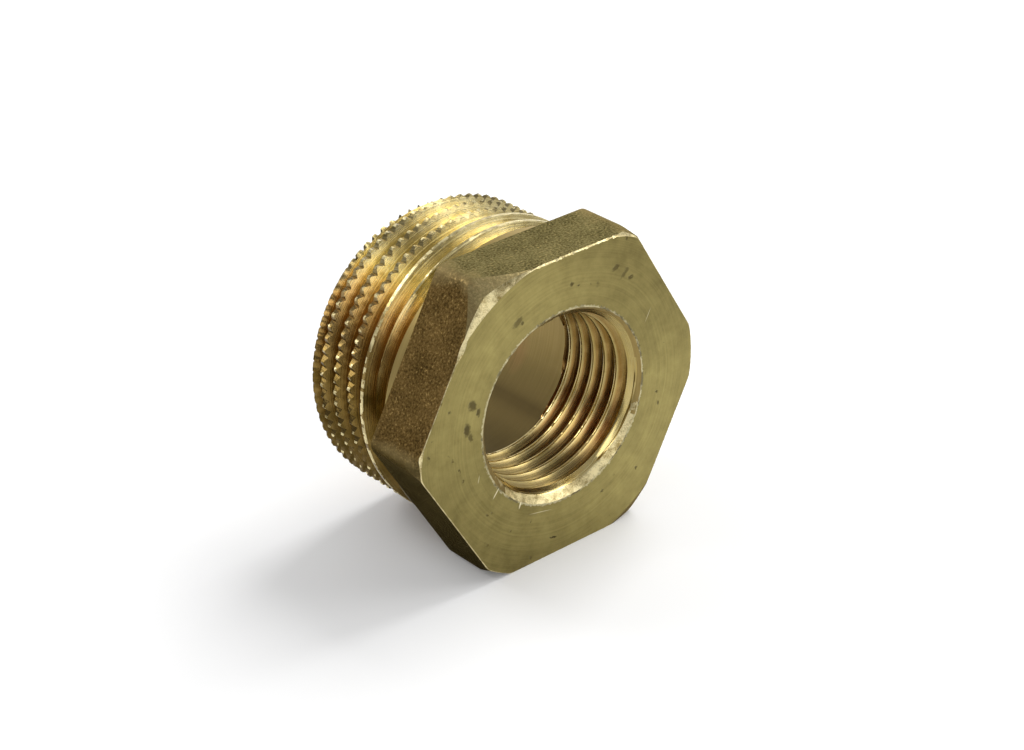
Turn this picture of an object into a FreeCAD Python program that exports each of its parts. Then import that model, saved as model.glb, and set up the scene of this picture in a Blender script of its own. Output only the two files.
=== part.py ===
import FreeCAD, Part
import math
import os

import Sketcher
from FreeCAD import Placement, Rotation, Vector

# Reducing nipple: one forged brass hexagon with an outside pipe thread turned on its rear and an
# inside pipe thread tapped through it from the front. The axis of both threads is Y. The front
# face of the hexagon is at Y = 0, the outside thread points to +Y, and Z is up.

# Sizes in millimetres and degrees
SIZES = {
    "across_flats": 34.0,
    "hex_thickness": 7.4,
    "hex_edge_radius": 1.4,
    "total_length": 21.8,
    # Forged bevel that takes the six front corners back, a cone nearly along the axis
    "bevel_diameter": 37.6,
    "bevel_angle": 16.0,
    # Front corner that was forged short and turned to a crescent, both off centre
    "worn_corner_side": -30.0,
    "short_corner_reach": 17.9,
    "short_corner_radius": 13.0,
    "short_corner_angle": 58.4,
    "short_corner_sweep": 70.0,
    "crescent_reach": 17.2,
    "crescent_radius": 21.0,
    "crescent_angle": 30.0,
    # Plain round collar between the hexagon and the outside thread
    "collar_diameter": 33.6,
    "collar_length": 1.1,
    # Outside thread, G 1, and the ring groove that it starts from
    "male_diameter": 33.249,
    "male_pitch": 2.309,
    "runout_centre": 9.626,
    "end_chamfer": 0.7,
    # Notches across the last turns of the outside thread
    "notch_count": 80,
    "notch_depth": 0.5,
    "notch_start": 13.95,
    "notch_turn": 1.1,
    "tooth_land": 0.16,
    # Inside thread, G 1/2, through a bore of tapping size
    "female_bore": 19.0,
    "female_diameter": 20.955,
    "female_pitch": 1.814,
    "female_start": -2.375,
    "female_length": 11.3,
    # Plain bore behind the inside thread
    "rear_bore": 24.0,
    # Chamfered mouth of the inside thread and the smooth band behind it
    "mouth_diameter": 21.68,
    "mouth_chamfer": 0.74,
    "lead_in_length": 1.75,
}

SHEET = "Sizes"
NODE = "reducing_nipple"

# A pipe thread's flank angle, and its depth and half the flat of its root as shares of the pitch
FLANK_ANGLE = 27.5
DEPTH_SHARE = 0.6403
HALF_ROOT_SHARE = 0.0833
# How far a cutting shape reaches past the surface that it cuts, and how far a thread's does
OVERCUT = 1.0
THREAD_OVERCUT_SHARE = 0.1
# Arcs that a round outline is drawn in, so that a thread's crest is a chain of short facets
ARC_COUNT = 6


def size(name):
    return "%s.%s" % (SHEET, name)


def half(name):
    return "(%s / 2)" % size(name)


doc = FreeCAD.newDocument("ReducingNipple")
sheet = doc.addObject("Spreadsheet::Sheet", SHEET)
for row, (alias, value) in enumerate(SIZES.items(), start=1):
    sheet.set("A%d" % row, alias)
    sheet.set("B%d" % row, str(value))
    sheet.setAlias("B%d" % row, alias)
doc.recompute()

body = doc.addObject("PartDesign::Body", "Nipple")
body.Label = NODE
body.Placement = Placement(Vector(0, 0, 0), Rotation())


def origin_feature(role):
    return next(item for item in body.Origin.OriginFeatures if item.Role == role)


def new_sketch(name, role, station=None, turn=None):
    """A sketch on one of the body's planes: XZ is across the axis, YZ holds it.

    A station moves it along the axis, and a turn swings it about the axis.
    """
    sketch = body.newObject("Sketcher::SketchObject", name)
    sketch.AttachmentSupport = [(origin_feature(role), "")]
    sketch.MapMode = "FlatFace"
    if station:
        sketch.setExpression("AttachmentOffset.Base.z", "-(%s) * 1 mm" % station)
    if turn:
        sketch.AttachmentOffset = Placement(Vector(0, 0, 0), Rotation(Vector(1, 0, 0), 1))
        sketch.setExpression("AttachmentOffset.Rotation.Angle", "%s * 1 deg" % turn)
    return sketch


def value_of(sketch, expression):
    return float(sketch.evalExpression(expression))


def bind(sketch, constraint, expression):
    """Add a constraint whose value follows the sheet."""
    index = sketch.addConstraint(constraint)
    sketch.setExpression("Constraints[%d]" % index, expression)


def draw_outline(sketch, corners):
    """Closed outline of straight lines; each corner is a pair of expressions."""
    points = []
    for across, up in corners:
        points.append(Vector(value_of(sketch, across), value_of(sketch, up), 0))
    count = len(points)
    for index in range(count):
        sketch.addGeometry(Part.LineSegment(points[index], points[(index + 1) % count]), False)
    for index in range(count):
        sketch.addConstraint(Sketcher.Constraint("Coincident", index, 2, (index + 1) % count, 1))
    for index, (across, up) in enumerate(corners):
        point = points[index]
        bind(sketch, Sketcher.Constraint("DistanceX", -1, 1, index, 1, point.x), across)
        bind(sketch, Sketcher.Constraint("DistanceY", -1, 1, index, 1, point.y), up)


def draw_circle(sketch, diameter, upright=False):
    """Circle about the axis, drawn as equal arcs from the sketch's x axis, or upright from y."""
    radius = value_of(sketch, diameter) / 2
    span = 2 * math.pi / ARC_COUNT
    first = math.pi / 2 if upright else 0.0
    circle = Part.Circle(Vector(0, 0, 0), Vector(0, 0, 1), radius)
    for index in range(ARC_COUNT):
        start = first + index * span
        sketch.addGeometry(Part.ArcOfCircle(circle, start, start + span), False)
    sketch.addConstraint(Sketcher.Constraint("PointOnObject", 0, 1, -2 if upright else -1))
    for index in range(ARC_COUNT):
        following = (index + 1) % ARC_COUNT
        sketch.addConstraint(Sketcher.Constraint("Coincident", index, 3, -1, 1))
        sketch.addConstraint(Sketcher.Constraint("Coincident", index, 2, following, 1))
        if following:
            sketch.addConstraint(Sketcher.Constraint("Angle", index, span))
    bind(sketch, Sketcher.Constraint("Diameter", 0, 2 * radius), diameter)


def add_feature(kind, name, profile):
    """A feature of the body whose facets stay apart."""
    feature = body.newObject("PartDesign::%s" % kind, name)
    feature.Profile = profile
    feature.Refine = False
    return feature


def finish(feature, cuts):
    """Make a feature the body's last one, and see that it cuts or adds as it should."""
    body.Tip = feature
    doc.recompute()
    base = feature.BaseFeature
    change = feature.Shape.Volume - (base.Shape.Volume if base else 0)
    print("%-16s %+10.2f mm3" % (feature.Label, change))
    if (change < 0) != cuts:
        raise RuntimeError("%s has no effect" % feature.Label)


def pad_along_axis(name, sketch, length):
    pad = add_feature("Pad", name, sketch)
    pad.setExpression("Length", length)
    pad.Reversed = True
    finish(pad, cuts=False)
    return pad


def cut_along_axis(name, sketch, length):
    pocket = add_feature("Pocket", name, sketch)
    pocket.setExpression("Length", length)
    finish(pocket, cuts=True)
    return pocket


def turn_away(name, sketch, axis, sweep=None):
    """Cut a section round an axis, all the way or through a sweep about the sketch."""
    groove = add_feature("Groove", name, sketch)
    groove.ReferenceAxis = axis
    groove.Angle = 360
    if sweep:
        groove.Midplane = True
        groove.setExpression("Angle", "%s * 1 deg" % sweep)
    finish(groove, cuts=True)


def cut_corner(name, reach, radius, angle, sweep=None):
    """Take one front corner back by a flat cone about a line beside the axis.

    The cone's circle on the front face passes the axis at the reach and has the radius, and the
    angle is the cone's from the face.
    """
    section = new_sketch("%s_outline" % name, "YZ_Plane", turn=size("worn_corner_side"))
    slope = "tan(%s * 1 deg)" % angle
    draw_outline(
        section,
        [
            ("-%g" % OVERCUT, "%s - %g / %s" % (reach, OVERCUT, slope)),
            ("(%s - %s) * %s" % (PAST_CORNER, reach, slope), PAST_CORNER),
            ("-%g" % OVERCUT, PAST_CORNER),
        ],
    )
    centre = "%s - %s" % (reach, radius)
    centre_up = value_of(section, centre)
    line = section.addGeometry(
        Part.LineSegment(Vector(0, centre_up, 0), Vector(OVERCUT, centre_up, 0)), True
    )
    section.addConstraint(Sketcher.Constraint("Horizontal", line))
    section.addConstraint(Sketcher.Constraint("PointOnObject", line, 1, -2))
    section.addConstraint(Sketcher.Constraint("DistanceX", line, 1, line, 2, OVERCUT))
    bind(section, Sketcher.Constraint("DistanceY", -1, 1, line, 1, centre_up), centre)
    turn_away(name, section, (section, ["Axis0"]), sweep)


def cut_thread(name, sketch, pitch, turns):
    """Right-hand helical groove about the axis."""
    helix = add_feature("SubtractiveHelix", name, sketch)
    helix.ReferenceAxis = AXIS
    helix.Mode = "pitch-turns-angle"
    helix.setExpression("Pitch", "%s * 1 mm" % pitch)
    helix.setExpression("Turns", turns)
    finish(helix, cuts=True)


def groove_section(centre, root, crest, pitch):
    """Corners of a thread groove: flat root, straight flanks out past the crest."""
    direction = "(%s > %s ? 1 : -1)" % (crest, root)
    mouth = "(%s + %s * %g * %s)" % (crest, direction, THREAD_OVERCUT_SHARE, pitch)
    half_root = "(%g * %s)" % (HALF_ROOT_SHARE, pitch)
    flank = "(abs(%s - %s) * tan(%g deg))" % (mouth, root, FLANK_ANGLE)
    half_mouth = "(%s + %s)" % (half_root, flank)
    return [
        ("%s - %s" % (centre, half_mouth), mouth),
        ("%s - %s" % (centre, half_root), root),
        ("%s + %s" % (centre, half_root), root),
        ("%s + %s" % (centre, half_mouth), mouth),
    ]


AXIS = (origin_feature("Y_Axis"), [""])
CORNER_REACH = "(%s / cos(30 deg))" % half("across_flats")
PAST_CORNER = "(%s + %g)" % (CORNER_REACH, OVERCUT)

# Hexagon, lying on one of its flats
hexagon = new_sketch("hexagon_outline", "XZ_Plane")
hexagon_corners = []
for angle in range(0, 360, 60):
    across = "%s * cos(%d deg)" % (CORNER_REACH, angle)
    up = "%s * sin(%d deg)" % (CORNER_REACH, angle)
    hexagon_corners.append((across, up))
draw_outline(hexagon, hexagon_corners)
hexagon_pad = pad_along_axis("hexagon", hexagon, size("hex_thickness"))

# The six edges along the axis are rounded by the forging
long_edges = []
for index, edge in enumerate(hexagon_pad.Shape.Edges, start=1):
    if edge.BoundBox.YLength > edge.BoundBox.XLength + edge.BoundBox.ZLength:
        long_edges.append("Edge%d" % index)
rounding = body.newObject("PartDesign::Fillet", "forged_edges")
rounding.Base = (hexagon_pad, long_edges)
rounding.setExpression("Radius", size("hex_edge_radius"))
rounding.Refine = False
finish(rounding, cuts=True)

# Collar, and the spigot that carries the outside thread
collar = new_sketch("collar_outline", "XZ_Plane", size("hex_thickness"))
draw_circle(collar, size("collar_diameter"))
pad_along_axis("collar", collar, size("collar_length"))
collar_end = "(%s + %s)" % (size("hex_thickness"), size("collar_length"))
spigot = new_sketch("spigot_outline", "XZ_Plane", collar_end)
draw_circle(spigot, size("male_diameter"), upright=True)
pad_along_axis("spigot", spigot, "%s - %s" % (size("total_length"), collar_end))

# Bore of the inside thread, and the larger plain bore behind it
bore = new_sketch("bore_outline", "XZ_Plane")
draw_circle(bore, size("female_bore"))
cut_along_axis("bore", bore, size("total_length"))
rear_bore = new_sketch("rear_bore_outline", "XZ_Plane", size("female_length"))
draw_circle(rear_bore, size("rear_bore"))
cut_along_axis("rear_bore", rear_bore, "%s - %s" % (size("total_length"), size("female_length")))

# Forged bevel on the six front corners
bevel = new_sketch("bevel_outline", "YZ_Plane")
bevel_slope = "tan(%s * 1 deg)" % size("bevel_angle")
bevel_end = "(%s - %s) / %s" % (PAST_CORNER, half("bevel_diameter"), bevel_slope)
draw_outline(
    bevel,
    [
        ("-%g" % OVERCUT, "%s - %g * %s" % (half("bevel_diameter"), OVERCUT, bevel_slope)),
        (bevel_end, PAST_CORNER),
        ("-%g" % OVERCUT, PAST_CORNER),
    ],
)
turn_away("corner_bevel", bevel, AXIS)

# One corner was forged short, and a turning tool then caught it and left a crescent
cut_corner(
    "short_corner",
    size("short_corner_reach"),
    size("short_corner_radius"),
    size("short_corner_angle"),
    size("short_corner_sweep"),
)
cut_corner(
    "crescent",
    size("crescent_reach"),
    size("crescent_radius"),
    size("crescent_angle"),
)

# Chamfer on the free end of the outside thread
chamfer = new_sketch("end_chamfer_outline", "YZ_Plane")
past_end = "%s + %g" % (size("total_length"), OVERCUT)
past_crest = "%s + %g" % (half("male_diameter"), OVERCUT)
draw_outline(
    chamfer,
    [
        ("%s - %s - %g" % (size("total_length"), size("end_chamfer"), OVERCUT), past_crest),
        (past_end, past_crest),
        (past_end, "%s - %s - %g" % (half("male_diameter"), size("end_chamfer"), OVERCUT)),
    ],
)
turn_away("thread_end_chamfer", chamfer, AXIS)

# Mouth: a chamfer of 45 degrees, then a smooth band that narrows to the thread's bore
mouth = new_sketch("mouth_outline", "YZ_Plane")
inside_bore = "%s - %g" % (half("female_bore"), OVERCUT)
draw_outline(
    mouth,
    [
        ("-%g" % OVERCUT, "%s + %g" % (half("mouth_diameter"), OVERCUT)),
        (size("mouth_chamfer"), "%s - %s" % (half("mouth_diameter"), size("mouth_chamfer"))),
        (size("lead_in_length"), half("female_bore")),
        (size("lead_in_length"), inside_bore),
        ("-%g" % OVERCUT, inside_bore),
    ],
)
turn_away("mouth", mouth, AXIS)

# Outside thread: a ring groove beside the collar, and the helical groove that starts in it
male_pitch = size("male_pitch")
male_crest = half("male_diameter")
male_root = "(%s - %g * %s)" % (male_crest, DEPTH_SHARE, male_pitch)
male_section = groove_section(size("runout_centre"), male_root, male_crest, male_pitch)
ring = new_sketch("runout_outline", "YZ_Plane")
draw_outline(ring, male_section)
turn_away("runout_groove", ring, AXIS)
male_groove = new_sketch("male_groove_outline", "YZ_Plane")
draw_outline(male_groove, male_section)
male_turns = "(%s - %s) / %s + 1" % (size("total_length"), size("runout_centre"), male_pitch)
cut_thread("male_thread", male_groove, male_pitch, male_turns)

# Inside thread: its groove starts in front of the mouth and ends in the rear bore
female_pitch = size("female_pitch")
female_section = groove_section(
    size("female_start"), half("female_diameter"), half("female_bore"), female_pitch
)
female_groove = new_sketch("female_groove_outline", "YZ_Plane")
draw_outline(female_groove, female_section)
female_turns = "(%s - %s) / %s + 1" % (size("female_length"), size("female_start"), female_pitch)
cut_thread("female_thread", female_groove, female_pitch, female_turns)

# Notches along the axis, which turn the last crests of the outside thread into rows of teeth
notch = new_sketch("notch_outline", "XZ_Plane", size("notch_start"))
tooth_pitch = "(%g * %s / %s)" % (math.pi, size("male_diameter"), size("notch_count"))
half_notch = "((%s - %s) / 2)" % (tooth_pitch, size("tooth_land"))
notch_top = "(%s + %g * %s)" % (male_crest, THREAD_OVERCUT_SHARE, male_pitch)
notch_bottom = "(%s - %s)" % (male_crest, size("notch_depth"))
half_top = "(%s * (%s - %s) / %s)" % (half_notch, notch_top, notch_bottom, size("notch_depth"))
notch_sine = "sin(%s * 1 deg)" % size("notch_turn")
notch_cosine = "cos(%s * 1 deg)" % size("notch_turn")


def notch_corner(outwards, sideways):
    """A corner given along the notch's own middle line and across it."""
    return (
        "%s * %s + %s * %s" % (outwards, notch_sine, sideways, notch_cosine),
        "%s * %s - %s * %s" % (outwards, notch_cosine, sideways, notch_sine),
    )


draw_outline(
    notch,
    [
        notch_corner(notch_bottom, "0"),
        notch_corner(notch_top, half_top),
        notch_corner(notch_top, "(-%s)" % half_top),
    ],
)
first_notch = cut_along_axis("notch", notch, "%s - %s" % (size("total_length"), size("notch_start")))
notches = body.newObject("PartDesign::PolarPattern", "notches")
notches.Originals = [first_notch]
notches.Axis = AXIS
notches.Angle = 360
notches.setExpression("Occurrences", size("notch_count"))
notches.Refine = False
finish(notches, cuts=True)

for item in doc.Objects:
    if "Invalid" in item.State or "Error" in item.State:
        raise RuntimeError("%s failed: %s" % (item.Label, item.State))
shape = body.Shape
if shape.isNull() or not shape.isValid() or len(shape.Solids) != 1:
    raise RuntimeError("%s is not one valid solid" % body.Label)
os.makedirs("parts", exist_ok=True)
shape.exportStep("parts/%s.step" % body.Label)
print("%s: %.2f mm3, %d faces" % (body.Label, shape.Volume, len(shape.Faces)))
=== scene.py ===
import functools
import math

import bmesh
import bpy
from mathutils import Matrix, Vector, noise


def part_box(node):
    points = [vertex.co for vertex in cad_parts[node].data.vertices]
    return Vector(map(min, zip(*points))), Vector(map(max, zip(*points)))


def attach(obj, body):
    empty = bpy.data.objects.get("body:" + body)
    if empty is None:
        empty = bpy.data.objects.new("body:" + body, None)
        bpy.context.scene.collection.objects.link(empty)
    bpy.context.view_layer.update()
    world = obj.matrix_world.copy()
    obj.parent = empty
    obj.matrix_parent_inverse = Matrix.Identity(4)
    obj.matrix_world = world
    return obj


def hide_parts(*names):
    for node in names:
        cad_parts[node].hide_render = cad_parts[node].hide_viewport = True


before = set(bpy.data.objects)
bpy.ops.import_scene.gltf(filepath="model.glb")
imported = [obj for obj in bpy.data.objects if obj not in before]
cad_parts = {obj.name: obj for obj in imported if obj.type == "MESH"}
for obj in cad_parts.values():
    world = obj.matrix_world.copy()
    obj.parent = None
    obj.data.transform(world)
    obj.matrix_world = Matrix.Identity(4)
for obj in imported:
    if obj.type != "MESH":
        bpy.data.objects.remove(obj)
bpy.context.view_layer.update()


# Hexagon and collar
# The head of the fitting: brass pressed hot in a die, which left it sandy flats and bevelled front
# corners. A lathe then faced its front, caught one corner that was forged short, and turned the
# plain collar behind it.

MM = 0.001
NODE = "reducing_nipple"
# Angles run from straight up (+Z) towards +X. A column of points stands on each notch's middle.
NOTCH_COUNT = 80
COLUMNS = 6 * NOTCH_COUNT
FIRST_COLUMN = math.radians(1.1)
HEXAGON_LENGTH = 7.4 * MM
HALF_ACROSS_FLATS = 17.0 * MM
EDGE_RADIUS = 1.4 * MM
COLLAR_RADIUS = 16.8 * MM
COLLAR_END = 8.5 * MM
MOUTH_RADIUS = 10.84 * MM
# Forged bevels by corner, in degrees: radius on the front face, and angle from the axis
BEVELS = {
    -150: (18.7 * MM, 16.0),
    -90: (18.9 * MM, 16.0),
    -30: (17.9 * MM, 31.6),
    30: (19.0 * MM, 11.0),
    90: (18.1 * MM, 16.0),
    150: (18.05 * MM, 58.0),
}
SHORT_CORNER = -30
SHORT_CORNER_MIDDLE = -31.0
SHORT_CORNER_FALL = 0.03 * MM
CRESCENT_SIDE = math.radians(-30)
CRESCENT_REACH = 17.2 * MM
CRESCENT_RADIUS = 21.0 * MM
CRESCENT_SLOPE = math.tan(math.radians(30))
# A second and much smaller bite of the tool, beside the crescent
NICK_SIDE = -50.2
NICK_HALF_WIDTH = 3.2
NICK_REACH = 16.88 * MM
NICK_RISE = 0.2 * MM
# Edge of the face, broken finely all round and raggedly along the top
EDGE_SOFTNESS = 0.1 * MM
FACE_LIP = 0.07 * MM
FACE_LIP_UNEVENNESS = 0.5
RAGGED_SIDES = (-12.0, 28.0)
RAGGED_FADE = 4
RAGGED_LIP = 0.2 * MM
RAGGED_SHARE = 0.35
RAGGED_SEED = 5
# Steps of noise to the degree, along the even and the ragged part of the edge
FACE_LIP_GRAIN = 0.9
RAGGED_GRAIN = 0.8
REAR_LIP = 0.1 * MM
SMALLEST_STEP = 0.02 * MM
FACE_ROWS = (0.04, 0.2, 0.4, 0.6, 0.8, 1.0)
SIDE_ROWS = (0.02, 0.25, 0.5, 0.75, 1.0)
FACED, FORGED, THREADED, BORED, SCRAPED, TAPPED = range(6)


def hexagon_radius(angle):
    """Outline of the hexagon, its corners rounded by the forging."""
    from_flat = (angle + math.radians(30)) % math.radians(60) - math.radians(30)
    straight = HALF_ACROSS_FLATS / math.cos(from_flat)
    corner = math.radians(30) - abs(from_flat)
    centre = (HALF_ACROSS_FLATS - EDGE_RADIUS) / math.cos(math.radians(30))
    across = centre * math.sin(corner)
    if across > EDGE_RADIUS / 2 + 1e-9:
        return straight
    return min(straight, centre * math.cos(corner) + math.sqrt(EDGE_RADIUS ** 2 - across ** 2))


def away(side, other):
    """Degrees from one side to another, from -180 to 180."""
    return (side - other + 180) % 360 - 180


def bevel(side):
    """Radius of the forged bevel on the front face, and its rise along the axis."""
    corner = min(BEVELS, key=lambda place: abs(away(side, place)))
    radius, degrees = BEVELS[corner]
    if corner == SHORT_CORNER:
        radius -= SHORT_CORNER_FALL * abs(away(side, SHORT_CORNER_MIDDLE))
    return radius, math.tan(math.radians(degrees))


def scraped_radius(side):
    """Where the tool's crescent and its nick start on the front face."""
    offset = CRESCENT_RADIUS - CRESCENT_REACH
    turn = math.radians(side) - CRESCENT_SIDE
    across = offset * math.sin(turn)
    crescent = math.sqrt(CRESCENT_RADIUS ** 2 - across ** 2) - offset * math.cos(turn)
    nick = NICK_REACH + NICK_RISE * (away(side, NICK_SIDE) / NICK_HALF_WIDTH) ** 2
    return min(crescent, nick)


def softened(radii):
    """The least of some radii, rounded where two of them meet."""
    least = min(radii)
    near = sum(math.exp((least - radius) / EDGE_SOFTNESS) for radius in radii)
    return least - EDGE_SOFTNESS * math.log(near)


def lip(side):
    """Width of the broken edge of the face."""
    uneven = noise.noise(Vector((side * FACE_LIP_GRAIN, 0, 0)))
    width = FACE_LIP * (1 + FACE_LIP_UNEVENNESS * uneven)
    first, last = RAGGED_SIDES
    inside = min(away(side, first), away(last, side))
    if inside > 0:
        tear = noise.noise(Vector((side * RAGGED_GRAIN, RAGGED_SEED, 0))) + RAGGED_SHARE
        width += RAGGED_LIP * max(tear, 0) * min(inside / RAGGED_FADE, 1)
    return width


def head_section(angle):
    """Points from the mouth's edge round the head to the thread's start: radius, place along."""
    side = away(math.degrees(angle), 0)
    outline = hexagon_radius(angle)
    forged, rise = bevel(side)
    scraped = scraped_radius(side)
    face_edge = softened((outline, forged, scraped))
    broken = lip(side)
    scraped_end = broken
    meeting = min(face_edge + SMALLEST_STEP, outline)
    if scraped < min(forged, outline):
        # The tool's slope ends on the forged bevel, or on the flat where there is no bevel
        scraped_end = (forged - scraped) / (1 / CRESCENT_SLOPE - rise)
        meeting = forged + scraped_end * rise
        if meeting > outline:
            meeting = outline
            scraped_end = (outline - scraped) * CRESCENT_SLOPE
        scraped_end = max(scraped_end, broken)
        meeting = max(meeting, face_edge)
    start = max((outline - forged) / rise, scraped_end + SMALLEST_STEP)
    points = [(MOUTH_RADIUS, 0.0)]
    for share in FACE_ROWS:
        points.append((MOUTH_RADIUS + (face_edge - broken - MOUTH_RADIUS) * share, 0.0))
    points.append((face_edge, broken))
    points.append((meeting, scraped_end))
    points.append((outline, start))
    for share in SIDE_ROWS:
        points.append((outline, start + (HEXAGON_LENGTH - REAR_LIP - start) * share))
    points.append((outline - REAR_LIP, HEXAGON_LENGTH))
    points.append((COLLAR_RADIUS + SMALLEST_STEP, HEXAGON_LENGTH))
    points.append((COLLAR_RADIUS, HEXAGON_LENGTH + SMALLEST_STEP))
    points.append((COLLAR_RADIUS, (HEXAGON_LENGTH + COLLAR_END) / 2))
    points.append((COLLAR_RADIUS, COLLAR_END))
    return points


def turned_sheet(name, section, finishes):
    """A sheet round the axis from a section at each column's angle; finishes give each row's."""
    mesh = bpy.data.meshes.new(name)
    points = []
    for column in range(COLUMNS):
        angle = FIRST_COLUMN + 2 * math.pi * column / COLUMNS
        for radius, along in section(angle):
            points.append((radius * math.sin(angle), along, radius * math.cos(angle)))
    rows = len(points) // COLUMNS
    faces = []
    for column in range(COLUMNS):
        after = (column + 1) % COLUMNS
        for row in range(rows - 1):
            here = column * rows + row
            there = after * rows + row
            faces.append((here, here + 1, there + 1, there))
    mesh.from_pydata(points, [], faces)
    for index, face in enumerate(mesh.polygons):
        face.material_index = finishes[index % (rows - 1)]
    return mesh


head_finishes = (
    [FACED] * len(FACE_ROWS)
    + [SCRAPED] * 2
    + [FORGED] * (len(SIDE_ROWS) + 3)
    + [BORED] * 3
)
head = turned_sheet("head", head_section, head_finishes)


def add_node(tree, kind, inputs=(), output=0, **settings):
    """Add a node with its settings; each input is a value or another node's output."""
    node = tree.nodes.new(kind)
    for name, setting in settings.items():
        setattr(node, name, setting)
    pairs = inputs.items() if isinstance(inputs, dict) else enumerate(inputs)
    for key, value in pairs:
        if isinstance(value, bpy.types.NodeSocket):
            tree.links.new(value, node.inputs[key])
        else:
            node.inputs[key].default_value = value
    return node.outputs[output] if node.outputs else node


def linear(code, alpha=1.0):
    """An sRGB hex colour as linear numbers."""
    parts = [int(code[place:place + 2], 16) / 255 for place in (1, 3, 5)]
    parts = [part / 12.92 if part <= 0.04045 else ((part + 0.055) / 1.055) ** 2.4
             for part in parts]
    return (*parts, alpha)


def new_material(name):
    """An empty material, and the way to add nodes to it."""
    material = bpy.data.materials.new(name)
    material.use_nodes = True
    material.node_tree.nodes.clear()
    return material, functools.partial(add_node, material.node_tree)


MATH = "ShaderNodeMath"
NOISE = "ShaderNodeTexNoise"
RANGE = "ShaderNodeMapRange"

# Marks on the face: place across and up, half length and half width in mm, tilt, strength.
# Dark ones are stains and pits, bright ones are scratches to clean metal.
STAINS = (
    (-12.8, 2.2, 0.45, 0.75, 0, 0.75),
    (-12.4, 1.2, 0.3, 0.5, 0, 0.6),
    (-12.0, 4.7, 0.55, 0.7, 20, 0.7),
    (-11.3, 3.6, 0.3, 0.5, 0, 0.7),
    (-5.8, 11.8, 0.8, 0.35, 35, 0.5),
    (1.4, 13.6, 0.3, 0.25, 0, 0.7),
    (2.3, 13.2, 0.15, 0.12, 0, 0.8),
    (7.4, 13.4, 0.5, 0.3, 30, 0.5),
    (8.6, 12.4, 0.8, 0.3, 40, 0.45),
    (9.4, 11.6, 0.4, 0.2, 0, 0.6),
    (13.0, -3.2, 0.2, 0.2, 0, 0.7),
    (13.2, -4.6, 0.15, 0.25, 0, 0.7),
    (-2.0, -15.0, 0.6, 0.12, -15, 0.9),
    (-13.6, -3.4, 0.15, 0.15, 0, 0.6),
    (5.0, -12.2, 0.2, 0.12, 20, 0.6),
    (-7.6, -11.8, 0.12, 0.12, 0, 0.6),
)
SCRATCHES = (
    (-9.4, -6.5, 0.75, 0.07, 50, 1.0),
    (-6.3, -9.2, 0.5, 0.1, 70, 1.0),
    (-3.6, -11.2, 1.6, 0.04, -12, 0.6),
    (-11.6, -4.0, 0.5, 0.04, 75, 0.7),
    (11.8, 6.4, 0.9, 0.04, 60, 0.5),
)
# Painted sheen: the two sides where the rings' sheen shines, high on the left and low on the right, and
# how much paler they are painted
SHEEN_SIDES = ((-49, 0.2), (131, 0.3))
# Where each of the two sets of rings starts in its noise, and how far the rings sway
RING_SETS = ((0.0, 0.2 * MM), (70 * MM, 0.4 * MM))


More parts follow.
